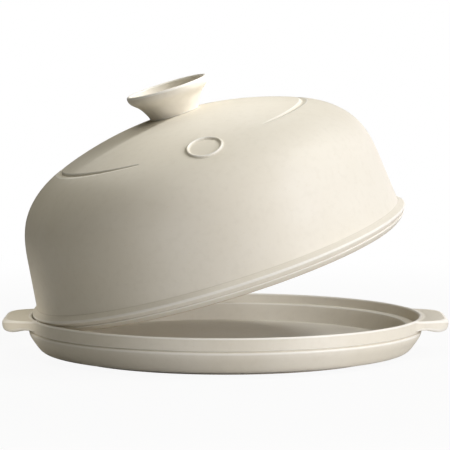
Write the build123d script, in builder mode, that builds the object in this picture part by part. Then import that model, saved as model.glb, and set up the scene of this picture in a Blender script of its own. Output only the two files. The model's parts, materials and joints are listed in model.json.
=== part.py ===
"""Bread cloche: a round glazed tray with two lugs, a domed lid and the lid's cup-shaped knob.

Millimetres. The origin is the middle of the tray's foot, +Z is up and +X points to the right lug.
The lid is made upright about the Z axis, then tipped ajar about its hinge line, as it is at rest.
"""

import os
from math import atan, cos, hypot, radians, sin, sqrt, tan

from build123d import *

# Driving radius: the outside of the lid's foot, which sits in the tray
lid_foot_radius = 140.5

# How the lid stands in the tray
seat_clearance = 0.3
foot_clearance = 2.0
lid_tilt = 17.22
lid_lean = 14.28
lid_slip = 3.5

# Tray, inside, from the seat outwards and down
seat_depth = 7.0
seat_width = 7.0
seat_cove_radius = 1.2
seat_edge_radius = 1.5
lip_flare = 2.4
rim_lip_width = 2.4
floor_thickness = 6.5
well_wall_run = 8.0
well_corner_radius = 5.0

# Tray, outside, from the rim inwards and down
tray_height = 29.0
rim_band_height = 9.5
band_step = 1.0
belly_inset = 4.7
belly_rise_share = 0.364
heel_inset = 10.8
foot_inset = 14.0
foot_height = 3.0
foot_ring_width = 8.0
heel_direction = (1, 0.35)
band_direction = (0.12, 1)

# Lugs
lug_reach = 20.2
lug_width = 84.0
lug_thickness = 7.6
lug_corner_radius = 15.0
lug_edge_radius = 3.0

# Lid, from its foot up
lid_wall = 7.0
lid_foot_edge_radius = 0.8
skirt_drop = 2.4
skirt_flare = 2.4
bead_reach = 5.1
bead_rise = 4.0
bead_direction = (1, 1.5)
wall_foot_reach = 0.5
wall_foot_rise = 3.6
wall_run = 4.2
wall_rise = 37.8
shoulder_run = 39.3
shoulder_rise = 53.1
shoulder_run_share = 0.188
shoulder_rise_share = 0.508
shoulder_turn = 45.0
inner_shoulder_ease_share = 0.086
crown_rise = 18.7

# Crown: a low level ledge at each side, widest in its middle and ending short of the front
ledge_drop = 0.3
ledge_width = 4.7
ledge_centre_reach = 6.8
ledge_end = 47.0
crown_turn = 10.0

# Knob
knob_foot_radius = 18.8
knob_waist_reach = 2.3
knob_waist_rise = 6.2
knob_flare_reach = 6.8
knob_flare_rise = 13.0
knob_rim_reach = 12.3
knob_height = 22.0
knob_lip = 3.2
knob_cup_depth = 15.5
knob_cup_floor_radius = 9.0
knob_foot_direction = (0.2, 1)
knob_rim_direction = (0.06, 1)
knob_cup_direction = (-0.4, -1)

cut_overrun = 20.0

os.makedirs("parts", exist_ok=True)


# Tray section
seat_height = tray_height - seat_depth
seat_outer_radius = lid_foot_radius + foot_clearance
seat_inner_radius = seat_outer_radius - seat_width
lip_inner_radius = seat_outer_radius + lip_flare
lip_radius = lip_inner_radius + rim_lip_width / 2
lip_foot_height = tray_height - rim_lip_width / 2
rim_radius = lip_inner_radius + rim_lip_width
bowl_radius = rim_radius - band_step
band_base = tray_height - rim_band_height
belly_height = foot_height + (band_base - foot_height) * belly_rise_share
heel_radius = rim_radius - heel_inset
foot_radius = heel_radius - foot_inset
floor_height = foot_height + floor_thickness
floor_radius = seat_inner_radius - well_wall_run
overall_length = (rim_radius + lug_reach) * 2

# Lid section, with its heights over the lid's own foot
skirt_height = seat_depth - skirt_drop
skirt_radius = lid_foot_radius + skirt_flare
bead_radius = lid_foot_radius + bead_reach
bead_height = skirt_height + bead_rise
wall_foot_radius = lid_foot_radius + wall_foot_reach
wall_foot_height = bead_height + wall_foot_rise
wall_top_radius = wall_foot_radius - wall_run
wall_top_height = wall_foot_height + wall_rise
crown_radius = wall_top_radius - shoulder_run
crown_edge_height = wall_top_height + shoulder_rise
lid_height = crown_edge_height + crown_rise
crown_curve_radius = (crown_radius**2 + crown_rise**2) / (2 * crown_rise)


def crown_height(radius):
    """Height of the crown's spherical surface over the lid's foot at a radius."""
    return lid_height - crown_curve_radius + sqrt(crown_curve_radius**2 - radius**2)


# Hinge line: the lid turns about a level line over its low edge. Its foot slips lid_slip inwards
# as it tips, so the line stands where the closed and the tipped foot are at the same height.
hinge_over_foot = lid_slip / 2 / tan(radians(lid_tilt) / 2)
hinge_reach = lid_foot_radius - lid_slip / 2
foot_dip = hypot(hinge_over_foot, lid_slip / 2) - hinge_over_foot
closed_height = seat_height + seat_clearance + foot_dip
low_side = Vector(-cos(radians(lid_lean)), -sin(radians(lid_lean)), 0)
hinge_point = low_side * hinge_reach + Vector(0, 0, closed_height + hinge_over_foot)
hinge_direction = Vector(-low_side.Y, low_side.X, 0)
hinge_axis = Axis(hinge_point, hinge_direction)

# Two flat lugs stand out level with the rim, each running in under the lip's crest.
with BuildPart() as lug_pair:
    with BuildSketch(Plane.XY.offset(tray_height - lug_thickness)):
        RectangleRounded(overall_length, lug_width, lug_corner_radius)
    extrude(amount=lug_thickness)
    fillet(lug_pair.edges().filter_by(Axis.Z, reverse=True), lug_edge_radius)
    with BuildSketch(Plane.XY):
        Circle(lip_radius)
    extrude(amount=tray_height, mode=Mode.SUBTRACT)

with BuildPart() as base_tray:
    with BuildSketch(Plane.XZ):
        with BuildLine():
            Polyline(
                (0, foot_height),
                (foot_radius - foot_ring_width, foot_height),
                (foot_radius - foot_ring_width, 0),
                (foot_radius, 0),
                (foot_radius, foot_height),
                (heel_radius, foot_height),
            )
            Spline(
                (heel_radius, foot_height),
                (rim_radius - belly_inset, belly_height),
                (bowl_radius, band_base),
                tangents=(heel_direction, band_direction),
            )
            Polyline(
                (bowl_radius, band_base),
                (rim_radius, band_base + band_step),
                (rim_radius, lip_foot_height),
            )
            ThreePointArc(
                (rim_radius, lip_foot_height),
                (lip_radius, tray_height),
                (lip_inner_radius, lip_foot_height),
            )
            Polyline(
                (lip_inner_radius, lip_foot_height),
                (seat_outer_radius, seat_height),
                (seat_inner_radius, seat_height),
                (floor_radius, floor_height),
                (0, floor_height),
                (0, foot_height),
            )
        make_face()
    revolve(axis=Axis.Z)

    # The seat's cove and the well's corner are rounded, and so is the seat's inner edge.
    circles = base_tray.edges().filter_by(GeomType.CIRCLE)
    cove = circles.filter_by_position(Axis.Z, seat_height, seat_height)
    fillet(cove.sort_by(SortBy.RADIUS)[-1], seat_cove_radius)
    circles = base_tray.edges().filter_by(GeomType.CIRCLE)
    seat_edge = circles.filter_by_position(Axis.Z, seat_height, seat_height)
    fillet(seat_edge.sort_by(SortBy.RADIUS)[0], seat_edge_radius)
    circles = base_tray.edges().filter_by(GeomType.CIRCLE)
    well_corner = circles.filter_by_position(Axis.Z, floor_height, floor_height)
    fillet(well_corner, well_corner_radius)

    add(lug_pair.part)

base_tray.part.label = "base_tray"
export_step(base_tray.part, "parts/base_tray.step")


def dome_points(inset):
    """Main points of the dome's section, moved square to its surface by inset."""
    wall_lean = atan(wall_run / wall_rise)
    crown_lean = crown_radius / crown_curve_radius
    crown_fall = sqrt(1 - crown_lean**2)
    turn = radians(shoulder_turn)
    ease = inset * inner_shoulder_ease_share
    return {
        "wall_foot": (wall_foot_radius - inset * cos(wall_lean), wall_foot_height),
        "wall_top": (wall_top_radius - inset * cos(wall_lean), wall_top_height),
        "shoulder": (
            wall_top_radius - shoulder_run * shoulder_run_share - inset * cos(turn) - ease,
            wall_top_height + shoulder_rise * shoulder_rise_share - inset * sin(turn),
        ),
        "crown_edge": (crown_radius - inset * crown_lean, crown_edge_height - inset * crown_fall),
        "top": (0, lid_height - inset),
        "wall_tangent": (-sin(wall_lean), cos(wall_lean)),
        "crown_tangent": (-crown_fall, crown_lean),
    }


outer = dome_points(0)
inner = dome_points(lid_wall)
knob_seat_height = crown_height(knob_foot_radius)

with BuildPart() as dome:
    with BuildSketch(Plane.XZ):
        with BuildLine():
            Polyline(
                (inner["wall_foot"][0], 0),
                (lid_foot_radius, 0),
                (skirt_radius, skirt_height),
            )
            Spline(
                (skirt_radius, skirt_height),
                (bead_radius, bead_height),
                ((bead_radius + wall_foot_radius) / 2, (bead_height + wall_foot_height) / 2),
                outer["wall_foot"],
                tangents=(bead_direction, outer["wall_tangent"]),
            )
            Line(outer["wall_foot"], outer["wall_top"])
            Spline(
                outer["wall_top"],
                outer["shoulder"],
                outer["crown_edge"],
                tangents=(outer["wall_tangent"], outer["crown_tangent"]),
            )
            RadiusArc(outer["crown_edge"], outer["top"], -crown_curve_radius)
            Line(outer["top"], inner["top"])
            RadiusArc(inner["top"], inner["crown_edge"], crown_curve_radius - lid_wall)
            Spline(
                inner["crown_edge"],
                inner["shoulder"],
                inner["wall_top"],
                tangents=(
                    tuple(-t for t in inner["crown_tangent"]),
                    tuple(-t for t in inner["wall_tangent"]),
                ),
            )
            Polyline(inner["wall_top"], inner["wall_foot"], (inner["wall_foot"][0], 0))
        make_face()
    revolve(axis=Axis.Z)
    foot_edges = dome.edges().filter_by(GeomType.CIRCLE).filter_by_position(Axis.Z, 0, 0)
    fillet(foot_edges, lid_foot_edge_radius)

    # A flat seat for the knob, level with the crown at the knob's foot.
    with BuildSketch(Plane.XY.offset(knob_seat_height)):
        Circle(knob_foot_radius)
    extrude(amount=cut_overrun, mode=Mode.SUBTRACT)

    # The ledges' floor is level. Their wall is an arc about a point past the lid's middle.
    with BuildSketch(Plane.XY.offset(crown_edge_height - ledge_drop)):
        with Locations((ledge_end, 0)):
            Rectangle(crown_radius, crown_radius * 2, align=(Align.MIN, Align.CENTER))
        with Locations((-ledge_centre_reach, 0)):
            Circle(crown_radius - ledge_width + ledge_centre_reach, mode=Mode.SUBTRACT)
        mirror(about=Plane.YZ)
    extrude(amount=cut_overrun, mode=Mode.SUBTRACT)

dome.part.label = "dome"

with BuildPart() as knob:
    rim_top = knob_seat_height + knob_height
    knob_rim_radius = knob_foot_radius + knob_rim_reach
    with BuildSketch(Plane.XZ):
        with BuildLine():
            Line((0, knob_seat_height), (knob_foot_radius, knob_seat_height))
            Spline(
                (knob_foot_radius, knob_seat_height),
                (knob_foot_radius + knob_waist_reach, knob_seat_height + knob_waist_rise),
                (knob_foot_radius + knob_flare_reach, knob_seat_height + knob_flare_rise),
                (knob_rim_radius, rim_top - knob_lip / 2),
                tangents=(knob_foot_direction, knob_rim_direction),
            )
            ThreePointArc(
                (knob_rim_radius, rim_top - knob_lip / 2),
                (knob_rim_radius - knob_lip / 2, rim_top),
                (knob_rim_radius - knob_lip, rim_top - knob_lip / 2),
            )
            Spline(
                (knob_rim_radius - knob_lip, rim_top - knob_lip / 2),
                (knob_cup_floor_radius, rim_top - knob_cup_depth),
                (0, rim_top - knob_cup_depth),
                tangents=(knob_cup_direction, (-1, 0)),
            )
            Line((0, rim_top - knob_cup_depth), (0, knob_seat_height))
        make_face()
    revolve(axis=Axis.Z)

knob.part.label = "knob"

# The lid is set down on the tray's seat and tipped ajar about the hinge line.
for piece in (dome.part, knob.part):
    placed = piece.rotate(Axis.Z, crown_turn).moved(Location((0, 0, closed_height)))
    placed = placed.rotate(hinge_axis, lid_tilt)
    placed.label = piece.label
    export_step(placed, f"parts/{placed.label}.step")
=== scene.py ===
"""Looks of a bread cloche: a glazed tray with two lugs, its domed lid and the lid's cup-shaped knob.

Each piece is one closed skin worked out on a grid in millimetres and put into its mesh in metres.
The lid's skins are made upright about the Z axis, then stood on the tray by the lid's own hinge.
"""

import json
import logging
import math
from dataclasses import dataclass, field
from enum import Enum
from typing import Any

import bpy
import numpy as np
from mathutils import Matrix, Vector


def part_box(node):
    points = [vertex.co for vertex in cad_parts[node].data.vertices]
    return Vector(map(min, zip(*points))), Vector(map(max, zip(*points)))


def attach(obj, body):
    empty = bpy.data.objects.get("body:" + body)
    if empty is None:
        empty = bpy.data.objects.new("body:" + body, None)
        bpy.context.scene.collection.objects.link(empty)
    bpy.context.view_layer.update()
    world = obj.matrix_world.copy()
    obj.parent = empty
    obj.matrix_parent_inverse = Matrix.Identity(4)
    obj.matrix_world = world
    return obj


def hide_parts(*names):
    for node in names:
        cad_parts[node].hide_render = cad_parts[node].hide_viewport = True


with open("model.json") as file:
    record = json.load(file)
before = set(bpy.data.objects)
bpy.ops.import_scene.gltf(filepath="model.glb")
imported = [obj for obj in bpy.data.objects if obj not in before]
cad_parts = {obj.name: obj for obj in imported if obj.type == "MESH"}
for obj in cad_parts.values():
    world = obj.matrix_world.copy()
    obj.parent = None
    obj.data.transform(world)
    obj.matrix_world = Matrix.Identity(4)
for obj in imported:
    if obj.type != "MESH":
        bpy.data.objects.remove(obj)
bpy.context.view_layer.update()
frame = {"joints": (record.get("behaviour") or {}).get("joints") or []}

LOG = logging.getLogger("bread_cloche")
MM = 0.001
TINY = 1e-9
NOISE_MIDDLE = 0.5

Array = np.ndarray


class Body(Enum):
    """The frame's bodies."""

    TRAY = "tray"
    LID = "lid"


class Slot(Enum):
    """The record's material slots."""

    TRAY = "tray_glaze"
    LID = "lid_glaze"
    KNOB = "knob_glaze"


def smooth_rise(low: float, high: float, x: Array) -> Array:
    """Rise from 0 at low to 1 at high, level at both ends: 3 t squared less 2 t cubed.

    Args:
        low: Where the rise starts.
        high: Where it ends.
        x: The places to work it out at.

    Returns:
        The share risen at each place.
    """
    t = np.clip((x - low) / (high - low), 0.0, 1.0)
    return t * t * (3.0 - 2.0 * t)


def soft_above(x: Array, width: float) -> Array:
    """How far a value is above nought, with the corner at nought rounded.

    Half of the sum of the value and the root of its square plus width squared.

    Args:
        x: The values.
        width: How much the rounding takes.

    Returns:
        The values above nought, and nearly nought below it.
    """
    return 0.5 * (x + np.sqrt(x**2 + width**2))


def steps(ends: tuple, counts: tuple) -> Array:
    """Places along a line in runs of even steps.

    Args:
        ends: Where the first run starts, and where each run ends.
        counts: Number of steps of each run.

    Returns:
        All the places, each once.
    """
    runs = zip(ends[:-1], ends[1:], counts)
    parts = [np.linspace(low, high, count, endpoint=False) for low, high, count in runs]
    return np.concatenate([*parts, [ends[-1]]])


def along(points: Array) -> Array:
    """Length along a polyline up to each of its points."""
    return np.concatenate([[0.0], np.cumsum(np.hypot(*np.diff(points, axis=0).T))])


def sampled(at: Array, passed: Array, line: Array) -> Array:
    """Points of a polyline in the plane where a measure that grows along it has given values."""
    return np.stack([np.interp(at, passed, line[:, k]) for k in (0, 1)], 1)


def unit(vectors: Array) -> Array:
    """Vectors over their own lengths, which are then one."""
    return vectors / np.maximum(np.linalg.norm(vectors, axis=-1, keepdims=True), TINY)


def spun(radius: Array, angles: Array, height: Array) -> Array:
    """Points at a radius and height on the rays that leave the Z axis at the angles."""
    axes = np.broadcast_arrays(radius * np.cos(angles), radius * np.sin(angles), height)
    return np.stack(axes, -1)


@dataclass(frozen=True)
class RowRule:
    """How the rows of a grid are chosen along a section.

    Attributes:
        softness: Width of the bell curve that rounds the corners, in millimetres.
        longest: Longest step between rows in millimetres.
        sharpest: Largest turn between rows in degrees.
    """

    softness: float
    longest: float
    sharpest: float


class Section:
    """Half section of a round piece in (radius, height), drawn run by run and then softened.

    The runs are sampled closely. A corner is rounded by averaging the line over a few tenths of a
    millimetre, as a poured glaze does.

    Attributes:
        STEP: Distance between samples in millimetres.
        LINE_STEPS: Fewest steps of a straight run.
        ARC_STEPS: Fewest steps of an arc.
        TAIL: How many times its width the averaging bell curve reaches to each side.
    """

    STEP = 0.1
    LINE_STEPS = 2
    ARC_STEPS = 4
    TAIL = 3

    def __init__(self, radius: float, height: float) -> None:
        """Start the section at a radius and height."""
        self.points = np.array([[radius, height]])

    def _add(self, points: Array) -> "Section":
        """Add points to the end of the section."""
        self.points = np.vstack([self.points, points])
        return self

    def line(self, radius: float, height: float) -> "Section":
        """Add a straight run.

        Args:
            radius: Radius where the run ends.
            height: Height where it ends.

        Returns:
            The section itself.
        """
        start, end = self.points[-1], np.array([radius, height])
        count = max(self.LINE_STEPS, int(np.hypot(*(end - start)) / self.STEP))
        share = np.linspace(0.0, 1.0, count + 1)[1:, None]
        return self._add(start + (end - start) * share)

    def arc(self, radius: float, height: float, turn: float) -> "Section":
        """Add an arc to a radius and height.

        The centre lies on the chord's middle line, half the chord over the tangent of half the turn.

        Args:
            radius: Radius where the arc ends.
            height: Height where it ends.
            turn: Degrees that the arc turns, positive to the left.

        Returns:
            The section itself.
        """
        start, end = self.points[-1], np.array([radius, height])
        half = math.radians(turn) / 2
        chord = end - start
        centre = (start + end) / 2 + np.array([-chord[1], chord[0]]) / (2 * math.tan(half))
        arm = start - centre
        count = max(self.ARC_STEPS, int(abs(2 * half) * np.hypot(*arm) / self.STEP))
        angle = np.linspace(0.0, 2 * half, count + 1)[1:]
        cos, sin = np.cos(angle), np.sin(angle)
        swung = np.stack([arm[0] * cos - arm[1] * sin, arm[0] * sin + arm[1] * cos], 1)
        return self._add(centre + swung)

    def curve(self, through: list[tuple[float, float]], start: tuple, end: tuple) -> "Section":
        """Add a smooth curve: cubics that keep one slope and one bend where they meet.

        Args:
            through: Points after the present one.
            start: Direction where the curve starts.
            end: Direction where it ends.

        Returns:
            The section itself.
        """
        knots = np.vstack([self.points[-1:], np.array(through, float)])
        place = along(knots)
        gap = np.diff(place)
        count = len(knots)
        rows, slopes = np.eye(count), np.zeros((count, 2))
        slopes[0], slopes[-1] = unit(np.array([start, end], float))
        mid = np.arange(1, count - 1)
        before, after = gap[:-1], gap[1:]
        rows[mid, mid - 1], rows[mid, mid], rows[mid, mid + 1] = after, 2 * (before + after), before
        run = np.diff(knots, axis=0) / gap[:, None]
        slopes[mid] = 3 * (after[:, None] * run[:-1] + before[:, None] * run[1:])
        slopes = np.linalg.solve(rows, slopes)
        at = np.linspace(0.0, place[-1], int(place[-1] / self.STEP) + 2)[1:]
        span = np.clip(np.searchsorted(place, at) - 1, 0, count - 2)
        wide = gap[span][:, None]
        t = (at - place[span])[:, None] / wide
        curve = (
            (1 + 2 * t) * (1 - t) ** 2 * knots[span]
            + t * (1 - t) ** 2 * wide * slopes[span]
            + t * t * (3 - 2 * t) * knots[span + 1]
            + t * t * (t - 1) * wide * slopes[span + 1]
        )
        return self._add(curve)

    def rows(self, rule: RowRule) -> Array:
        """Round the corners and choose the rows of a grid.

        The line is averaged under a bell curve, then cut where a running sum of its length over
        the longest step and of its turn over the sharpest turn passes whole numbers.

        Args:
            rule: How the rows are chosen.

        Returns:
            The rows' radii and heights.
        """
        place = along(self.points)
        even = np.linspace(0.0, place[-1], int(place[-1] / self.STEP) + 1)
        line = sampled(even, place, self.points)
        reach = int(self.TAIL * rule.softness / self.STEP)
        bell = np.exp(-0.5 * (np.arange(-reach, reach + 1) * self.STEP / rule.softness) ** 2)
        bell /= bell.sum()
        first, last = 2 * line[0] - line[reach:0:-1], 2 * line[-1] - line[-2 : -reach - 2 : -1]
        padded = np.vstack([first, line, last])
        line = np.stack([np.convolve(padded[:, k], bell, "valid") for k in (0, 1)], 1)
        run = np.diff(line, axis=0)
        bend = np.abs(np.diff(np.unwrap(np.arctan2(run[:, 1], run[:, 0]))))
        bend = np.concatenate([[0.0], bend, [0.0]])
        swung = np.concatenate([[0.0], np.cumsum((bend[1:] + bend[:-1]) / 2)])
        passed = along(line) / rule.longest + swung / math.radians(rule.sharpest)
        cuts = np.linspace(0.0, passed[-1], int(math.ceil(passed[-1])) + 1)
        return sampled(cuts, passed, line)


@dataclass
class Skin:
    """A piece's surface while it is worked out.

    Attributes:
        points: Vertices in millimetres.
        faces: Rows of four vertex numbers; a triangle repeats its last one.
        marks: Values per vertex that the finish reads, by name.
    """

    points: Array
    faces: Array
    marks: dict[str, Array] = field(default_factory=dict)

    @staticmethod
    def quads(index: Array) -> Array:
        """Four-sided faces between neighbouring rows and columns of a grid of vertex numbers."""
        a, b, c, d = index[:-1, :-1], index[:-1, 1:], index[1:, 1:], index[1:, :-1]
        return np.stack([a, b, c, d], -1).reshape(-1, 4)

    @staticmethod
    def ring(index: Array) -> Array:
        """Faces of a grid of vertex numbers whose last column meets its first."""
        return Skin.quads(np.hstack([index, index[:, :1]]))

    @staticmethod
    def fan(centre: int, ring: Array, outward: bool) -> Array:
        """Triangles from one vertex to a ring of vertices, as four-sided rows with a repeat.

        Args:
            centre: Number of the vertex in the middle.
            ring: Numbers of the vertices round it.
            outward: Whether the faces look along the ring's own turning direction.

        Returns:
            The faces.
        """
        after = np.roll(ring, -1)
        first, second = (ring, after) if outward else (after, ring)
        middle = np.full_like(ring, centre)
        return np.stack([first, second, middle, middle], -1)

    def mesh(self, name: str, place: Array) -> bpy.types.Mesh:
        """Put the skin into a mesh, in metres and in its place.

        Args:
            name: The mesh's name.
            place: Four by four matrix that stands the skin in the frame, in millimetres.

        Returns:
            The mesh, smooth shaded, with its marks as attributes.
        """
        points = (self.points @ place[:3, :3].T + place[:3, 3]) * MM
        triangle = self.faces[:, 3] == self.faces[:, 2]
        size = np.where(triangle, 3, 4)
        kept = np.ones(self.faces.shape, bool)
        kept[:, 3] = ~triangle
        mesh = bpy.data.meshes.new(name)
        mesh.vertices.add(len(points))
        mesh.vertices.foreach_set("co", points.astype(np.float32).ravel())
        mesh.loops.add(int(size.sum()))
        mesh.loops.foreach_set("vertex_index", self.faces[kept].astype(np.int32))
        mesh.polygons.add(len(size))
        starts = np.concatenate([[0], np.cumsum(size)[:-1]])
        mesh.polygons.foreach_set("loop_start", starts.astype(np.int32))
        mesh.polygons.foreach_set("use_smooth", np.ones(len(size), bool))
        for mark, values in self.marks.items():
            layer = mesh.attributes.new(mark, "FLOAT", "POINT")
            layer.data.foreach_set("value", values.astype(np.float32))
        mesh.update(calc_edges=True)
        mesh.validate()
        return mesh


def bend_of(grid: Array) -> Array:
    """How sharply a grid bends from row to row, in turns of one radian a millimetre.

    The change of the unit step along each column, over the mean of the two steps, measured along
    the surface's own normal: positive on an edge, negative in a cove.

    Args:
        grid: Rows by columns of points.

    Returns:
        The bend at each point, nought on the first and last row.
    """
    run = np.diff(grid, axis=0)
    length = np.maximum(np.linalg.norm(run, axis=-1, keepdims=True), TINY)
    turn = np.diff(run / length, axis=0) / ((length[1:] + length[:-1]) / 2)
    beside = np.roll(grid, -1, 1) - np.roll(grid, 1, 1)
    normal = unit(np.cross(beside[1:-1], grid[2:] - grid[:-2]))
    bend = np.zeros(grid.shape[:2])
    bend[1:-1] = -(turn * normal).sum(-1)
    return bend


def marks_of(grid: Array, gain: float, bare: tuple | None = None) -> dict[str, Array]:
    """The values that the glaze reads: where the surface bends, and where its clay is bare.

    Args:
        grid: Rows by columns of points.
        gain: Mark for a bend of one radian a millimetre, before it is kept within 1.
        bare: Heights between which bare clay gives way to glaze, or nothing where none is bare.

    Returns:
        The mark called edge, from -1 in a cove to 1 on an edge, and the mark called bare.
    """
    edge = np.clip(bend_of(grid) * gain, -1.0, 1.0)
    clay = np.zeros(edge.shape) if bare is None else 1.0 - smooth_rise(*bare, grid[..., 2])
    return {"edge": edge, "bare": clay}


def turned(rows: Array, angles: Array) -> Array:
    """A round surface: each row's radius and height carried round the Z axis."""
    return spun(rows[:, :1], angles, rows[:, 1:])


def closed_skin(grid: Array, bottom: float, top: float, marks: dict[str, Array]) -> Skin:
    """Close a round grid with one vertex on the axis at each end.

    Args:
        grid: Rows by columns of points, from the underside's middle outwards and over the top.
        bottom: Height of the first vertex on the axis.
        top: Height of the last one.
        marks: Values per grid point by name.

    Returns:
        The closed skin, facing outwards.
    """
    rows, columns = grid.shape[:2]
    index = np.arange(rows * columns).reshape(rows, columns)
    low, high = rows * columns, rows * columns + 1
    points = np.vstack([grid.reshape(-1, 3), [[0, 0, bottom], [0, 0, top]]])
    faces = np.vstack(
        [Skin.ring(index), Skin.fan(low, index[0], False), Skin.fan(high, index[-1], True)]
    )
    flat = {name: np.append(values.ravel(), [0.0, 0.0]) for name, values in marks.items()}
    return Skin(points, faces, flat)


class Socket:
    """A shader value that can be added, subtracted and multiplied like a number."""

    def __init__(self, graph: "Graph", socket: bpy.types.NodeSocket) -> None:
        """Wrap an output socket of a graph."""
        self.graph = graph
        self.socket = socket

    def _math(self, operation: str, *values: Any) -> "Socket":
        """One Math node on this value and others."""
        return self.graph.node("ShaderNodeMath", {"operation": operation}, dict(enumerate(values)))

    def __add__(self, other: Any) -> "Socket":
        """Sum."""
        return self._math("ADD", self, other)

    __radd__ = __add__

    def __sub__(self, other: Any) -> "Socket":
        """Difference."""
        return self._math("SUBTRACT", self, other)

    def __rsub__(self, other: Any) -> "Socket":
        """Difference from a number."""
        return self._math("SUBTRACT", other, self)

    def __mul__(self, other: Any) -> "Socket":
        """Product."""
        return self._math("MULTIPLY", self, other)

    __rmul__ = __mul__

    def rise(self, low: float, high: float) -> "Socket":
        """Smooth rise of this value from 0 at low to 1 at high."""
        settings = {"interpolation_type": "SMOOTHSTEP"}
        inputs = {"Value": self, "From Min": low, "From Max": high}
        return self.graph.node("ShaderNodeMapRange", settings, inputs)


class Graph:
    """A node tree of a material or of the world.

    Attributes:
        MIX_COLOURS: Numbers of the Mix node's two colour inputs.
        MIX_RESULT: Number of its colour output.
    """

    MIX_COLOURS = (6, 7)
    MIX_RESULT = 2

    def __init__(self, owner: Any) -> None:
        """Empty the owner's tree.

        Args:
            owner: The material or world that the tree belongs to.
        """
        owner.use_nodes = True
        self.tree = owner.node_tree
        self.tree.nodes.clear()

    def node(self, kind: str, settings: dict, inputs: dict, output: int | str = 0) -> Socket | None:
        """Add a node, set it up and link it.

        Args:
            kind: The node's type.
            settings: Its own settings, set first.
            inputs: Values or sockets by input name or number.
            output: Which output to hand on.

        Returns:
            The output, or nothing from a node that has none.
        """
        made = self.tree.nodes.new(kind)
        for key, value in settings.items():
            setattr(made, key, value)
        for key, value in inputs.items():
            if isinstance(value, Socket):
                self.tree.links.new(value.socket, made.inputs[key])
            else:
                made.inputs[key].default_value = value
        return Socket(self, made.outputs[output]) if made.outputs else None

    def noise(self, place: Socket, pattern: "Pattern") -> Socket:
        """Cloudy value round the noise's middle, in clouds as wide as the pattern's."""
        inputs = {"Vector": place, "Scale": 1.0 / (pattern.size * MM), "Detail": pattern.detail}
        return self.node("ShaderNodeTexNoise", {}, inputs, "Fac")

    def mark(self, name: str) -> Socket:
        """A value that the skin carries at each vertex."""
        return self.node("ShaderNodeAttribute", {"attribute_name": name}, {}, "Fac")

    def blend(self, share: Any, first: Any, second: Any) -> Socket:
        """Colour between two colours."""
        inputs = {"Factor": share, **dict(zip(self.MIX_COLOURS, (first, second)))}
        return self.node("ShaderNodeMix", {"data_type": "RGBA"}, inputs, self.MIX_RESULT)


@dataclass(frozen=True)
class Pattern:
    """One pattern in a glaze: cloudy noise, or a mark that the skin carries.

    Attributes:
        low: Value where it starts to show.
        high: Value where it shows in full.
        share: Share of its colour there.
        roughness: What it adds to the roughness.
        height: Depth of its bumps in millimetres.
        size: Width of its clouds in millimetres.
        detail: How many times finer clouds are added to them.
    """

    low: float
    high: float
    share: float = 1.0
    roughness: float = 0.0
    height: float = 0.0
    size: float = 1.0
    detail: float = 2.0

    def shown(self, value: Socket) -> Socket:
        """Share of the pattern's colour where the noise or mark has a value."""
        return value.rise(self.low, self.high) * self.share


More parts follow.
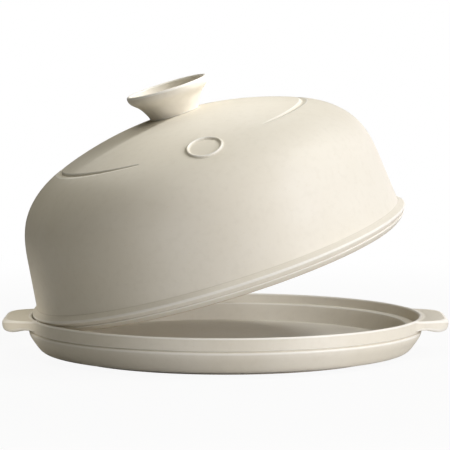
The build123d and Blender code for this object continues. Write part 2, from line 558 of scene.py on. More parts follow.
@dataclass(frozen=True)
class Glaze:
    """A satin glaze poured over pale clay.

    Attributes:
        body: Colour where the glaze lies even.
        cloud: Colour of its faint clouds.
        thin: Colour of its flecks, where the clay shows through.
        painted_highlight: Colour of the painted highlight over edges.
        pool_and_shade: Colour where the glaze runs thicker, and of the painted shade in coves.
        clay: Colour of bare clay.
        roughness: Roughness of the glaze.
        coat: Weight of its glassy top.
        coat_roughness: Roughness of that top.
        refraction: Its index of refraction.
        clouds: Where its faint clouds lie.
        mottle: Where it is a little thicker.
        flecks: Where it is thin.
        cove_pooling_and_shade: Painted shade and pooled glaze in coves, by the edge mark reversed.
        painted_highlight_edges: Painted highlight and less roughness over edges, by the edge mark.
        grain: The clay's grain.
        bare_roughness: What bare clay adds to the roughness.
        bare_height: What bare clay adds to the grain's depth, in millimetres.
    """

    body: tuple = (0.80, 0.755, 0.655, 1.0)
    cloud: tuple = (0.765, 0.715, 0.605, 1.0)
    thin: tuple = (0.74, 0.66, 0.52, 1.0)
    painted_highlight: tuple = (0.94, 0.915, 0.86, 1.0)
    pool_and_shade: tuple = (0.52, 0.47, 0.37, 1.0)
    clay: tuple = (0.60, 0.47, 0.34, 1.0)
    roughness: float = 0.56
    coat: float = 0.06
    coat_roughness: float = 0.3
    refraction: float = 1.4
    clouds: Pattern = Pattern(0.35, 0.68, roughness=0.10, size=85.0, detail=3.0)
    mottle: Pattern = Pattern(0.45, 0.75, 0.08, 0.06, 0.035, 5.0, 3.0)
    flecks: Pattern = Pattern(0.735, 0.80, 0.22, size=1.7, detail=0.0)
    cove_pooling_and_shade: Pattern = Pattern(0.3, 1.0, 0.35)
    painted_highlight_edges: Pattern = Pattern(0.06, 0.6, 0.6, roughness=-0.08)
    grain: Pattern = Pattern(0.3, 0.75, height=0.006, size=0.9)
    bare_roughness: float = 0.4
    bare_height: float = 0.05

    def dress(self, name: str) -> bpy.types.Material:
        """Make the material.

        The colour drifts in wide faint clouds and fine flecks. The mark called edge paints a
        highlight over edges and paints shade in coves, partly as pooled glaze, and the mark called
        bare shows the clay.

        Args:
            name: The material's name.

        Returns:
            The material.
        """
        material = bpy.data.materials.new(name)
        graph = Graph(material)
        place = graph.node("ShaderNodeTexCoord", {}, {}, "Object")
        edge, bare = graph.mark("edge"), graph.mark("bare")
        cloud, mottle = graph.noise(place, self.clouds), graph.noise(place, self.mottle)
        fleck, grain = graph.noise(place, self.flecks), graph.noise(place, self.grain)
        layers = (
            (self.clouds, cloud, self.cloud),
            (self.mottle, mottle, self.pool_and_shade),
            (self.flecks, fleck, self.thin),
            # painted shade: darker colour in coves and creases, partly as pooled glaze
            (self.cove_pooling_and_shade, 0.0 - edge, self.pool_and_shade),
            # painted highlight: lighter colour over edges and crests
            (self.painted_highlight_edges, edge, self.painted_highlight),
        )
        colour = self.body
        for pattern, value, tint in layers:
            colour = graph.blend(pattern.shown(value), colour, tint)
        clay = graph.blend(self.grain.shown(grain), self.clay, self.thin)
        colour = graph.blend(bare, colour, clay)
        over = edge.rise(self.painted_highlight_edges.low, self.painted_highlight_edges.high)
        rough = self.roughness + bare * self.bare_roughness + over * self.painted_highlight_edges.roughness
        rough = rough + (cloud - NOISE_MIDDLE) * self.clouds.roughness
        rough = rough + (mottle - NOISE_MIDDLE) * self.mottle.roughness
        depth = self.grain.height + bare * self.bare_height
        height = (mottle - NOISE_MIDDLE) * self.mottle.height + (grain - NOISE_MIDDLE) * depth
        inputs = {"Strength": 1.0, "Distance": MM, "Height": height}
        bump = graph.node("ShaderNodeBump", {}, inputs)
        shader = graph.node(
            "ShaderNodeBsdfPrincipled",
            {},
            {
                "Base Color": colour,
                "Roughness": rough,
                "Normal": bump,
                "Coat Weight": (1.0 - bare) * self.coat,
                "Coat Roughness": self.coat_roughness,
                "IOR": self.refraction,
            },
        )
        graph.node("ShaderNodeOutputMaterial", {}, {"Surface": shader})
        return material


@dataclass
class LidStand:
    """How the upright lid stands ajar on the tray, worked out from the lid's hinge.

    Attributes:
        slip: How far the lid's foot slips inwards as it tips.
        crown_turn: Degrees that the crown's ledges are turned about the lid's own axis.
    """

    slip: float = 3.5
    crown_turn: float = 10.0

    def place(self) -> Array:
        """Stand the lid at rest: turned on its axis, lifted by its foot, then tipped at the hinge.

        Returns:
            Matrix from the upright lid, with its foot at height 0, to the lid at rest, in mm.
        """
        hinge = frame["joints"][0]
        tilt = -math.radians(hinge["range_deg"][0])
        point = Vector(hinge["pos_m"]) / MM
        foot = point.z - self.slip / 2 / math.tan(tilt / 2)
        tip = Matrix.Rotation(tilt, 4, Vector(hinge["axis"]))
        about = Matrix.Translation(point) @ tip @ Matrix.Translation(-point)
        stand = Matrix.Translation((0.0, 0.0, foot))
        return np.array(about @ stand @ Matrix.Rotation(math.radians(self.crown_turn), 4, "Z"))


def show(name: str, skin: Skin, place: Array, body: Body, node: str, glaze: Glaze) -> None:
    """Make a piece's object, dress it and let it stand for its CAD node.

    Args:
        name: The piece's name.
        skin: Its surface.
        place: Matrix that stands the skin in the frame.
        body: The body that it rides on.
        node: The CAD node that it stands for.
        glaze: Its finish.
    """
    piece = bpy.data.objects.new(name, skin.mesh(name, place))
    bpy.context.scene.collection.objects.link(piece)
    piece.data.materials.append(glaze.dress(name + "_glaze"))
    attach(piece, body.value)
    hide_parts(node)
    LOG.info("%s: %d vertices, %d faces", name, len(skin.points), len(skin.faces))


@dataclass
class Tray:
    """Round tray: foot ring, bowl, rim band with two lugs, lip, seat for the lid and well.

    Lengths are millimetres. The rim's radius, the height and the length over the lugs are read
    from the CAD node, and the lugs' round ends stay a little inside that length. The rim's reach
    is how far it stands out beyond its own circle.

    Attributes:
        nose_sides: Distances from a lug's middle line over which its edge gets sharper.
        edge_share: Share of the reach that the lower edge's round may take.
        lip_run: Reach at which the upper edge is as round as a lug's.
        droop_out: Reaches between which the rim starts to droop.
        droop_tip: Distances from a lug's tip over which the droop grows.
        droop_height: Height over a lug's underside at which the droop is gone.
        sink_start: Distances from the rim's circle over which a lug's top sinks.
        sink_heights: Heights over a lug's underside between which it starts to sink.
        rim_parts: How closely the rows lie on each part of the rim's path.
        column_counts: Columns over a lug, and from one lug to the other.
        spare: How far inside the rim and outside the lugs the halving starts.
        pole: Radius of the rows next to the axis.
    """

    foot_radius: float = 122.5
    foot_width: float = 8.0
    foot_height: float = 3.0
    heel_radius: float = 136.5
    belly: tuple = (142.6, 9.0)
    heel_direction: tuple = (1.0, 0.35)
    band_direction: tuple = (0.12, 1.0)
    band_height: float = 9.5
    band_step: float = 0.6
    groove_under: tuple = (0.0, 1.5)
    groove: tuple = (1.5, -0.4)
    lip_width: float = 2.4
    seat_depth: float = 7.0
    seat_outer: float = 142.5
    seat_inner: float = 135.5
    floor_height: float = 9.5
    well_run: float = 8.0
    lug_width: float = 84.0
    lug_thickness: float = 7.6
    lug_corner: float = 24.0
    lug_edge: float = 1.8
    lug_nose: float = 3.4
    lug_root: float = 9.0
    lug_drop: float = 2.0
    lug_sink: float = 0.7
    lug_ease: float = 1.2
    lug_cove: float = 0.8
    nose_sides: tuple = (21.0, 39.0)
    edge_share: float = 0.45
    lip_run: float = 9.0
    droop_out: tuple = (8.0, 17.0)
    droop_tip: tuple = (-9.0, -2.5)
    droop_height: float = 4.5
    sink_start: tuple = (-0.4, 2.2)
    sink_heights: tuple = (2.0, 6.0)
    rim_parts: tuple = (1.0, 2.5, 0.7, 2.5, 1.0, 2.5, 0.7)
    rim_rows: int = 64
    column_counts: tuple = (110, 90)
    lug_margin: float = 6.0
    spare: float = 1.0
    halvings: int = 40
    pole: float = 4.0
    under_rows: RowRule = RowRule(0.45, 5.0, 11.0)
    inner_rows: RowRule = RowRule(0.6, 5.0, 10.0)
    edge_gain: float = 1.6
    bare: tuple = (0.3, 1.1)
    glaze: Glaze = Glaze()

    def __post_init__(self) -> None:
        """Read the tray's outer sizes from the frame."""
        low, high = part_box("base_tray")
        self.rim_radius = high.y / MM
        self.height = high.z / MM
        self.reach = high.x / MM - self.lug_ease
        self.lip_radius = self.rim_radius - self.lip_width / 2
        self.lip_round = self.lip_width / 2

    def angles(self) -> Array:
        """Choose the columns, closer together round the lugs.

        Returns:
            Their angles.
        """
        side = math.degrees(math.asin(self.lug_width / 2 / self.rim_radius)) + self.lug_margin
        half = steps((-side, side, 180.0 - side), self.column_counts)
        return np.radians(np.concatenate([half[:-1], half[:-1] + 180.0]))

    def outline(self, angles: Array) -> Array:
        """The rim's reach beyond its circle at each angle, which makes the lugs.

        The plan is the smooth union of the rim's circle and a bar with round corners: a blend of
        the distances to the two, less the root's width times the blend's two shares. Its edge is
        found on each ray by halving.

        Args:
            angles: The rays' angles.

        Returns:
            The reach there, in millimetres.
        """
        low = np.full(angles.shape, self.rim_radius - self.spare)
        high = np.full(angles.shape, self.reach + self.spare)
        for _ in range(self.halvings):
            middle = (low + high) / 2
            x, y = np.abs(middle * np.cos(angles)), np.abs(middle * np.sin(angles))
            past_x = np.maximum(x - self.reach + self.lug_corner, 0.0)
            past_y = np.maximum(y - self.lug_width / 2 + self.lug_corner, 0.0)
            inside = np.minimum(np.maximum(x - self.reach, y - self.lug_width / 2), 0.0)
            bar = np.hypot(past_x, past_y) + inside * (past_x * past_y == 0) - self.lug_corner
            bar = np.where((past_x == 0) & (past_y == 0), -self.lug_corner, bar)
            disc = middle - self.rim_radius
            share = np.clip(0.5 + 0.5 * (disc - bar) / self.lug_root, 0.0, 1.0)
            edge = disc + (bar - disc) * share - self.lug_root * share * (1 - share)
            low, high = np.where(edge < 0, middle, low), np.where(edge < 0, high, middle)
        return np.maximum(low - self.rim_radius, 0.0)

    def rim(self, angles: Array) -> Array:
        """The band's upper side, the lugs and the lip's crest.

        Each column is one path: up the band, out under the lug, round its edge and back over its
        top to the crest. Where no lug stands out, the path is the plain band and the lip's round.
        The rows share out each path evenly, with more of them on its arcs.

        Args:
            angles: The columns' angles.

        Returns:
            Rows by columns of points.
        """
        out = self.outline(angles)
        under = self.height - self.lug_thickness
        cove = np.minimum(self.lug_cove, out / 2)
        side = np.abs((self.rim_radius + out) * np.sin(angles))
        nose = 1 - smooth_rise(*self.nose_sides, side)
        round_edge = self.lug_edge + (self.lug_nose - self.lug_edge) * nose
        lower = np.minimum(round_edge, out * self.edge_share)
        upper = self.lip_round + (round_edge - self.lip_round) * smooth_rise(0.0, self.lip_run, out)
        base = self.height - self.band_height + self.band_step
        quarter = math.pi / 2
        lengths = np.stack(
            [
                under - cove - base,
                cove * quarter,
                np.maximum(out - cove - lower, 0.0),
                lower * quarter,
                self.height - upper - under - lower,
                upper * quarter,
                np.maximum(out + self.lip_round - upper, 0.0),
            ]
        )
        shares = lengths * np.array(self.rim_parts)[:, None]
        passed = np.vstack([np.zeros(len(out)), np.cumsum(shares, 0)])
        at = np.linspace(0.0, 1.0, self.rim_rows)[:, None] * passed[-1]
        part = (at[None] - passed[:-1, None]) / np.maximum(shares, TINY)[:, None]
        part = np.clip(part, 0.0, 1.0)
        turn = part * quarter
        radius = (
            self.rim_radius
            + cove * (1 - np.cos(turn[1]))
            + part[2] * lengths[2]
            + lower * np.sin(turn[3])
            - upper * (1 - np.cos(turn[5]))
            - part[6] * lengths[6]
        )
        height = (
            base
            + part[0] * lengths[0]
            + cove * np.sin(turn[1])
            + lower * (1 - np.cos(turn[3]))
            + part[4] * lengths[4]
            + upper * np.sin(turn[5])
        )
        beyond = radius - self.rim_radius
        droop = smooth_rise(*self.droop_out, out) * smooth_rise(*self.droop_tip, beyond - out)
        droop = droop * (1 - smooth_rise(0.0, self.droop_height, height - under))
        height = height - self.lug_drop * droop
        sink = smooth_rise(*self.sink_start, beyond) * smooth_rise(*self.sink_heights, height - under)
        height = height - self.lug_sink * sink
        return spun(radius, angles, height)

    def skin(self) -> Skin:
        """Draw the whole tray.

        Returns:
            Its skin, from the middle of its underside round its rim to the middle of its floor.
        """
        angles = self.angles()
        band_base = self.height - self.band_height
        ring = self.foot_radius - self.foot_width
        under = Section(self.pole, self.foot_height).line(ring, self.foot_height).line(ring, 0.0)
        under.line(self.foot_radius, 0.0).line(self.foot_radius, self.foot_height)
        under.line(self.heel_radius, self.foot_height)
        bowl = (self.rim_radius - self.groove_under[0], band_base - self.groove_under[1])
        under.curve([self.belly, bowl], self.heel_direction, self.band_direction)
        under.line(self.rim_radius - self.groove[0], band_base + self.groove[1])
        under.line(self.rim_radius, band_base + self.band_step)
        outside = turned(under.rows(self.under_rows), angles)
        seat = self.height - self.seat_depth
        inside = Section(self.lip_radius, self.height)
        inside.arc(self.lip_radius - self.lip_round, self.height - self.lip_round, 90.0)
        inside.line(self.seat_outer, seat).line(self.seat_inner, seat)
        inside.line(self.seat_inner - self.well_run, self.floor_height)
        inside.line(self.pole, self.floor_height)
        within = turned(inside.rows(self.inner_rows), angles)
        grid = np.concatenate([outside[:-1], self.rim(angles), within[1:]])
        marks = marks_of(grid, self.edge_gain, self.bare)
        return closed_skin(grid, self.foot_height, self.floor_height, marks)

    def build(self) -> None:
        """Make the tray."""
        show("tray_body", self.skin(), np.eye(4), Body.TRAY, "base_tray", self.glaze)


@dataclass
class Dome:
    """The lid's dome: tapered foot, bead, wall, shoulder, crown with two ledges, and a round seal.

    Lengths are millimetres, and heights count from the lid's own foot. The ledges lie at the two
    ends of the crown's X axis, and the seal stands at its front, towards -Y.

    Attributes:
        ledge_softness: Half the width of the ledges' walls, towards -X and towards +X.
        ledge_lift: How much higher than ledge_drop says the ledges' floors lie there.
        ledge_corner: Width of the round corner at the floors' outer edge.
        wall_band: Distance each side of a ledge's wall where the rows are finest.
        knob_rows: Radii between which the rows lie closer for the knob's foot.
        row_counts: Numbers of rows on the top's runs, from outside to the middle.
        front_ends: Degrees at which the front's runs of columns start and end.
        back_ends: Degrees at which the back's runs do.
        probe: Distance each side of a point over which the top's slope is taken.
    """

    foot_radius: float = 138.3
    skirt: tuple = (143.4, 4.3)
    skirt_step: tuple = (142.7, 5.1)
    bead_under: tuple = (145.4, 8.2)
    bead_over: tuple = (144.9, 9.7)
    skirt_turn: float = 22.0
    bead_turns: tuple = (16.0, 62.0)
    wall_foot: tuple = (140.95, 12.6)
    wall_top: tuple = (136.8, 50.0)
    shoulder: tuple = (129.4, 77.0)
    crown_radius: float = 97.5
    crown_edge: float = 103.1
    height: float = 121.8
    wall: float = 7.0
    inner_ease: float = 0.6
    pole: float = 3.0
    ledge_drop: float = 0.3
    ledge_width: float = 4.7
    ledge_centre: float = 6.8
    ledge_end: float = 47.0
    ledge_softness: tuple = (0.45, 1.3)
    ledge_lift: tuple = (0.22, 0.45)
    seal_radius: float = 12.4
    seal_place: float = 98.3
    seal_ring: float = 1.9
    seal_flank: float = 0.75
    seal_rise: float = 1.3
    seal_sink: float = 0.12
    seal_bevel: float = 1.5
    fine_outer: float = 118.0
    fine_inner: float = 84.0
    join_gap: float = 0.3
    ledge_corner: float = 0.1
    wall_band: float = 1.0
    knob_rows: tuple = (25.0, 17.0)
    row_counts: tuple = (40, 10, 8, 15, 18, 8, 5)
    front_ends: tuple = (-180.0, -122.0, -117.0, -100.0, -80.0, -63.0, -58.0, 0.0)
    front_counts: tuple = (38, 14, 12, 64, 12, 14, 38)
    back_ends: tuple = (0.0, 58.0, 63.0, 117.0, 122.0, 180.0)
    back_counts: tuple = (30, 12, 24, 12, 30)
    probe: float = 0.1
    side_rows: RowRule = RowRule(0.28, 4.5, 8.0)
    edge_gain: float = 1.6
    bare: tuple = (0.15, 0.9)
    glaze: Glaze = Glaze()

    def __post_init__(self) -> None:
        """Work out the crown's sphere, the section and where the ledges end."""
        rise = self.height - self.crown_edge
        self.sphere = (self.crown_radius**2 + rise**2) / (2 * rise)
        self.section = self.draw()
        line = self.section.points
        outside = np.arange(len(line)) > line[:, 1].argmin()
        self.shoulder_line = line[outside & (line[:, 1] > self.wall_top[1])][::-1]
        self.ledge_height = self.crown_edge - self.ledge_drop
        radii, heights = self.shoulder_line.T
        self.ledge_edge = float(np.interp(-self.ledge_height, -heights, radii))

    def crown(self, radius: Array) -> Array:
        """Height of the crown's sphere at a radius."""
        return self.height - self.sphere + np.sqrt(self.sphere**2 - radius**2)

    def draw(self) -> Section:
        """Draw the section.

        Returns:
            The line from under the crown down the inside, round the foot and up the outside.
        """
        lean = self.crown_radius / self.sphere
        fall = math.sqrt(1 - lean**2)
        foot, top = np.array(self.wall_foot), np.array(self.wall_top)
        down = unit(foot - top)
        level = np.array([self.wall * abs(down[1]), 0.0])
        turn = self.wall * math.sqrt(0.5)
        shoulder = (self.shoulder[0] - turn - self.inner_ease, self.shoulder[1] - turn)
        edge = (self.crown_radius - self.wall * lean, self.crown_edge - self.wall * fall)
        sphere = self.sphere - self.wall
        start = self.height - self.wall - sphere + math.sqrt(sphere**2 - self.pole**2)
        angle = math.degrees(math.asin(self.pole / sphere) - math.asin(edge[0] / sphere))
        line = Section(self.pole, start).arc(*edge, angle)
        line.curve([shoulder, tuple(top - level)], (fall, -lean), tuple(down))
        line.line(*(foot - level)).line((foot - level)[0], 0.0)
        line.line(self.foot_radius, 0.0).arc(*self.skirt, self.skirt_turn).line(*self.skirt_step)
        line.arc(*self.bead_under, self.bead_turns[0]).arc(*self.bead_over, self.bead_turns[1])
        line.line(*self.wall_foot).line(*self.wall_top)
        crown = (self.crown_radius, self.crown_edge)
        return line.curve([self.shoulder, crown], tuple(-down), (-fall, lean))

    def top_height(self, radius: Array) -> Array:
        """Work out the round top: the crown's sphere, and the shoulder beyond it.

        Args:
            radius: Radii from the lid's axis.

        Returns:
            The top's heights there.
        """
        beyond = np.interp(radius, self.shoulder_line[:, 0], self.shoulder_line[:, 1])
        crown = self.crown(np.minimum(radius, self.crown_radius))
        return np.where(radius < self.crown_radius, crown, beyond)

    def columns(self) -> Array:
        """Choose the columns, closer together at the ledges' ends and at the seal.

        Returns:
            Their angles.
        """
        front = steps(self.front_ends, self.front_counts)
        back = steps(self.back_ends, self.back_counts)
        return np.radians(np.concatenate([front, back[1:-1]]))

    def ledge_wall(self, angles: Array) -> Array:
        """Radius of the ledges' wall on each ray.

        The wall is a circle about a point past the lid's middle. Beyond the ledges' ends the
        radius stays as it is there.

        Args:
            angles: The rays' angles.

        Returns:
            The radii.
        """
        across = np.maximum(np.abs(np.cos(angles)), self.ledge_end / self.crown_radius)
        reach = self.crown_radius - self.ledge_width + self.ledge_centre
        return np.sqrt(reach**2 - self.ledge_centre**2 * (1 - across**2)) - self.ledge_centre * across

    def top(self, angles: Array) -> Array:
        """The shoulder's top and the crown with its ledges and its seal.

        The rows between the fine rows' ends slide so that one of them follows the ledges' wall.
        A ledge takes off what lies above its level floor, outside its wall and past its end. The
        one towards +X is a little shallower and its wall is rounder.

        Args:
            angles: The columns' angles.

        Returns:
            Rows by columns of points, from outside to the middle.
        """
        middle = self.crown_radius - self.ledge_width
        low, high = self.fine_inner, self.ledge_edge
        band = (middle + self.wall_band, middle - self.wall_band)
        ends = (self.fine_outer, high, *band, low, *self.knob_rows, self.pole)
        even = steps(ends, self.row_counts)[:, None]
        wall = self.ledge_wall(angles)[None]
        inner = low + (even - low) * (wall - low) / (middle - low)
        outer = high - (high - even) * (high - wall) / (high - middle)
        slid = np.where(even < middle, inner, outer)
        radius = np.where((even > low) & (even < high), slid, even)
        grid = spun(radius, angles, self.top_height(radius))
        x, y, height = np.moveaxis(grid, -1, 0)
        soft = np.where(x < 0, *self.ledge_softness)
        past_wall = np.hypot(np.abs(x) + self.ledge_centre, y) - (middle + self.ledge_centre)
        past_end = np.abs(x) - self.ledge_end
        share = smooth_rise(-soft, soft, past_wall) * smooth_rise(-soft, soft, past_end)
        floor = self.ledge_height + np.where(x < 0, *self.ledge_lift)
        grid[..., 2] = height - soft_above(height - floor, self.ledge_corner) * share
        return self.seal(grid, radius)

    def seal(self, grid: Array, radius: Array) -> Array:
        """Raise the seal's ring and sink its field a little, along the surface's normal.

        The ring is flat on top and rises over a narrow flank at each side of it.

        Args:
            grid: Points of the top.
            radius: Their radii.

        Returns:
            The points with the seal.
        """
        fall = self.top_height(radius - self.probe) - self.top_height(radius + self.probe)
        lean = fall / (2 * self.probe * radius)
        normal = unit(np.stack([lean * grid[..., 0], lean * grid[..., 1], np.ones(lean.shape)], -1))
        centre = np.array([0.0, -self.seal_place, float(self.top_height(np.array(self.seal_place)))])
        distance = np.linalg.norm(grid - centre, axis=-1)
        off = np.abs(distance - self.seal_radius) - self.seal_ring / 2
        ring = 1 - smooth_rise(-self.seal_flank / 2, self.seal_flank / 2, off)
        inside = 1 - smooth_rise(self.seal_radius - self.seal_bevel, self.seal_radius, distance)
        return grid + normal * (self.seal_rise * ring - self.seal_sink * inside)[..., None]

    def skin(self) -> Skin:
        """Draw the whole dome.

        Returns:
            Its skin, from under its crown down the inside, round the foot and up the outside.
        """
        angles = self.columns()
        rows = self.section.rows(self.side_rows)
        high = (rows[:, 0] < self.fine_outer + self.join_gap) & (rows[:, 1] > self.shoulder[1])
        first = int(np.argmax(high & (np.arange(len(rows)) > rows[:, 1].argmin())))
        grid = np.concatenate([turned(rows[:first], angles), self.top(angles)])
        marks = marks_of(grid, self.edge_gain, self.bare)
        return closed_skin(grid, self.height - self.wall, self.height, marks)

    def build(self, place: Array) -> None:
        """Make the dome where the lid stands."""
        show("dome_shell", self.skin(), place, Body.LID, "dome", self.glaze)


@dataclass
class Knob:
    """The lid's knob: a flared, hollow cup on a narrow foot.

    Lengths are millimetres, and directions are (outwards, up).
    """

    foot_radius: float = 18.8
    undercut: tuple = (0.8, 1.1)
    undercut_turn: float = 60.0
    outside: tuple = ((20.9, 6.2), (25.3, 12.3), (30.2, 17.0))
    rim_radius: float = 31.1
    height: float = 22.0
    lip: float = 3.2
    cup_depth: float = 15.5
    cup_floor: float = 9.0
    pole: float = 2.0
    foot_direction: tuple = (0.15, 1.0)
    rim_direction: tuple = (0.06, 1.0)
    cup_direction: tuple = (-0.4, -1.0)
    floor_direction: tuple = (-1.0, 0.0)
    columns: int = 160
    row_rule: RowRule = RowRule(0.2, 1.5, 7.0)
    edge_gain: float = 0.8
    glaze: Glaze = Glaze()

    def skin(self, dome: Dome) -> Skin:
        """The knob on the dome's crown, from the middle of its foot to the middle of its cup.

        Args:
            dome: The dome that it stands on.

        Returns:
            The closed skin, facing outwards.
        """
        inner = self.foot_radius - self.undercut[0]
        under, edge_foot, foot = dome.crown(np.array([self.pole, inner, self.foot_radius]))
        top = foot + self.height
        floor = top - self.cup_depth
        line = Section(self.pole, under).line(inner, edge_foot)
        line.arc(self.foot_radius, foot + self.undercut[1], self.undercut_turn)
        through = [(radius, foot + rise) for radius, rise in self.outside]
        rim = (self.rim_radius, top - self.lip / 2)
        line.curve([*through, rim], self.foot_direction, self.rim_direction)
        line.arc(self.rim_radius - self.lip, top - self.lip / 2, 180.0)
        cup = [(self.cup_floor, floor), (self.pole, floor)]
        line.curve(cup, self.cup_direction, self.floor_direction)
        angles = np.linspace(0.0, 2 * math.pi, self.columns, endpoint=False)
        grid = turned(line.rows(self.row_rule), angles)
        marks = marks_of(grid, self.edge_gain)
        return closed_skin(grid, float(dome.crown(np.array(0.0))), floor, marks)

    def build(self, place: Array, dome: Dome) -> None:
        """Make the knob where the lid stands."""
        show("knob_cup", self.skin(dome), place, Body.LID, "knob", self.glaze)


@dataclass(frozen=True)
class Lamp:
    """A lamp that faces a point of the object.

    Attributes:
        name: Its name.
        azimuth: Degrees round from +X towards -Y.
        elevation: Degrees above the floor.
        power: Watts.
        colour: Tint.
        aim: What it faces, from the middle of the picture, in millimetres.
    """

    name: str
    azimuth: float
    elevation: float
    power: float
    colour: tuple = (1.0, 1.0, 1.0)
    aim: tuple = (0.0, 0.0, 0.0)

    def light(self) -> bpy.types.Light:
        """Make the light itself, which each kind of lamp does in its own way."""
        raise NotImplementedError

    def hang(self, middle: Vector, distance: float) -> None:
        """Hang the lamp up, facing its aim.

        Args:
            middle: The middle of the picture, in metres.
            distance: How far from its aim it hangs, in metres.
        """
        turn, rise = math.radians(self.azimuth), math.radians(self.elevation)
        level = math.cos(rise)
        away = Vector((math.cos(turn) * level, -math.sin(turn) * level, math.sin(rise)))
        light = self.light()
        light.energy = self.power
        light.color = self.colour
        made = bpy.data.objects.new(self.name, light)
        made.location = middle + Vector(self.aim) * MM + away * distance
        made.rotation_euler = away.to_track_quat("Z", "Y").to_euler()
        bpy.context.scene.collection.objects.link(made)


@dataclass(frozen=True)
class SoftBox(Lamp):
    """A soft square lamp.

    Attributes:
        side: Its width and height in metres.
    """

    side: float = 1.0

    def light(self) -> bpy.types.Light:
        """Make the light itself.

        Returns:
            The light, as wide as it is high.
        """
        light = bpy.data.lights.new(self.name, "AREA")
        light.shape = "SQUARE"
        light.size = self.side
        return light


@dataclass(frozen=True)
class Spot(Lamp):
    """A small lamp whose cone lights one part of the object, softer towards its edge.

    Attributes:
        cone: Degrees across the cone.
        bulb: Radius of the bulb in metres.
    """

    cone: float = 10.0
    bulb: float = 0.02

    def light(self) -> bpy.types.Light:
        """Make the light itself.

        Returns:
            The light, with a cone that fades all the way from its middle.
        """
        light = bpy.data.lights.new(self.name, "SPOT")
        light.spot_size = math.radians(self.cone)
        light.spot_blend = 1.0
        light.shadow_soft_size = self.bulb
        return light


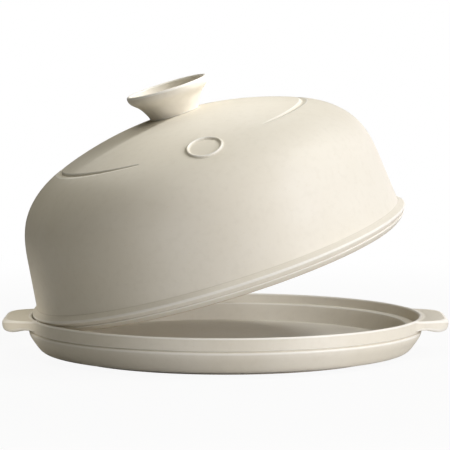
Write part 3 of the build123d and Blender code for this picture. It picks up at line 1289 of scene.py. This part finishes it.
@dataclass
class Studio:
    """Pale floor, soft lamps, a dim surround and the camera.

    Attributes:
        target: The point at the middle of the picture, in millimetres.
        distance: From there to the camera, in millimetres.
        elevation: Degrees that the camera looks down.
        focal: Focal length in pixels of the square picture.
        picture: The picture's width in pixels.
        sensor: Sensor width in millimetres.
        sight: How far the camera sees, in metres.
        surround: Light from all round, as a colour.
        paper: Colour of the floor.
        white: What the camera sees behind the object.
        near_white: Share of that white on the floor close to the object.
        white_reach: Distances in metres over which that share rises to one.
        floor_side: The floor's width in metres.
        lamp_distance: From each lamp to what it faces, in metres.
        lamps: The lamps.
    """

    target: tuple = (-0.23, 0.0, 96.11)
    distance: float = 1900.0
    elevation: float = 4.62
    focal: float = 2533.1
    picture: float = 450.0
    sensor: float = 36.0
    sight: float = 50.0
    surround: tuple = (0.004, 0.004, 0.003, 1.0)
    paper: tuple = (0.62, 0.61, 0.59, 1.0)
    white: tuple = (1.0, 1.0, 1.0, 1.0)
    near_white: float = 0.93
    white_reach: tuple = (0.3, 0.8)
    floor_side: float = 12.0
    lamp_distance: float = 1.5
    lamps: tuple = (
        SoftBox("key_box", 42.0, 8.0, 20.0, (0.96, 0.955, 1.0)),
        SoftBox("top_box", 105.0, 62.0, 5.0, (1.0, 0.96, 0.84)),
        SoftBox("back_box", 240.0, 65.0, 5.8, (1.0, 0.97, 0.88)),
        SoftBox("low_back_box", -60.0, 8.0, 5.0, (1.0, 0.93, 0.9)),
        SoftBox("small_box", 3.0, 54.0, 7.6, (0.95, 0.97, 1.0), side=0.35),
        Spot("crown_spot", -8.0, 43.5, 60.0, (0.97, 0.97, 1.0), (-96.77, -38.0, 47.89), 8.8, 0.014),
        Spot("right_spot", 100.0, 12.0, 7.0, (1.0, 0.97, 0.94), (136.23, -70.0, -80.11), 8.0),
        Spot("left_spot", 120.0, 25.0, 48.0, (1.0, 0.95, 0.88), (-159.77, -12.0, -72.11), 4.5),
    )

    def floor(self) -> None:
        """Pale floor that the camera sees as white, with the object's soft shadow near it.

        The white grows with the distance from the object, so the floor has no far edge.
        """
        side = self.floor_side / 2
        square = [(-side, -side, 0), (side, -side, 0), (side, side, 0), (-side, side, 0)]
        mesh = bpy.data.meshes.new("floor")
        mesh.from_pydata(square, [], [(0, 1, 2, 3)])
        floor = bpy.data.objects.new("floor", mesh)
        bpy.context.scene.collection.objects.link(floor)
        paper = bpy.data.materials.new("floor_paper")
        graph = Graph(paper)
        seen = graph.node("ShaderNodeLightPath", {}, {}, "Is Camera Ray")
        place = graph.node("ShaderNodeTexCoord", {}, {}, "Object")
        away = graph.node("ShaderNodeVectorMath", {"operation": "LENGTH"}, {"Vector": place}, "Value")
        share = seen * (self.near_white + away.rise(*self.white_reach) * (1 - self.near_white))
        matt = graph.node("ShaderNodeBsdfDiffuse", {}, {"Color": self.paper})
        white = graph.node("ShaderNodeEmission", {}, {"Color": self.white, "Strength": 1.0})
        mixed = graph.node("ShaderNodeMixShader", {}, {0: share, 1: matt, 2: white})
        graph.node("ShaderNodeOutputMaterial", {}, {"Surface": mixed})
        mesh.materials.append(paper)

    def world(self) -> None:
        """A dim warm surround that the camera sees as white."""
        world = bpy.data.worlds.new("studio")
        graph = Graph(world)
        seen = graph.node("ShaderNodeLightPath", {}, {}, "Is Camera Ray")
        dim = graph.node("ShaderNodeBackground", {}, {"Color": self.surround})
        white = graph.node("ShaderNodeBackground", {}, {"Color": self.white})
        mixed = graph.node("ShaderNodeMixShader", {}, {0: seen, 1: dim, 2: white})
        graph.node("ShaderNodeOutputWorld", {}, {"Surface": mixed})
        bpy.context.scene.world = world

    def camera(self) -> None:
        """Camera at the picture's own angle and distance."""
        rise = math.radians(self.elevation)
        data = bpy.data.cameras.new("camera")
        data.sensor_width = self.sensor
        data.lens = self.focal / self.picture * self.sensor
        data.clip_end = self.sight
        made = bpy.data.objects.new("camera", data)
        back = Vector((0.0, -math.cos(rise), math.sin(rise)))
        made.location = (Vector(self.target) + back * self.distance) * MM
        made.rotation_euler = (math.pi / 2 - rise, 0.0, 0.0)
        bpy.context.scene.collection.objects.link(made)
        bpy.context.scene.camera = made

    def build(self) -> None:
        """Set the stage."""
        self.floor()
        self.world()
        self.camera()
        for lamp in self.lamps:
            lamp.hang(Vector(self.target) * MM, self.lamp_distance)
        bpy.context.scene.view_settings.view_transform = "Standard"


def main() -> None:
    """Build the cloche piece by piece."""
    logging.basicConfig(level=logging.INFO, format="%(message)s")
    stand = LidStand().place()
    dome = Dome()
    Tray().build()
    dome.build(stand)
    Knob().build(stand, dome)
    Studio().build()


if __name__ == "__main__":
    main()
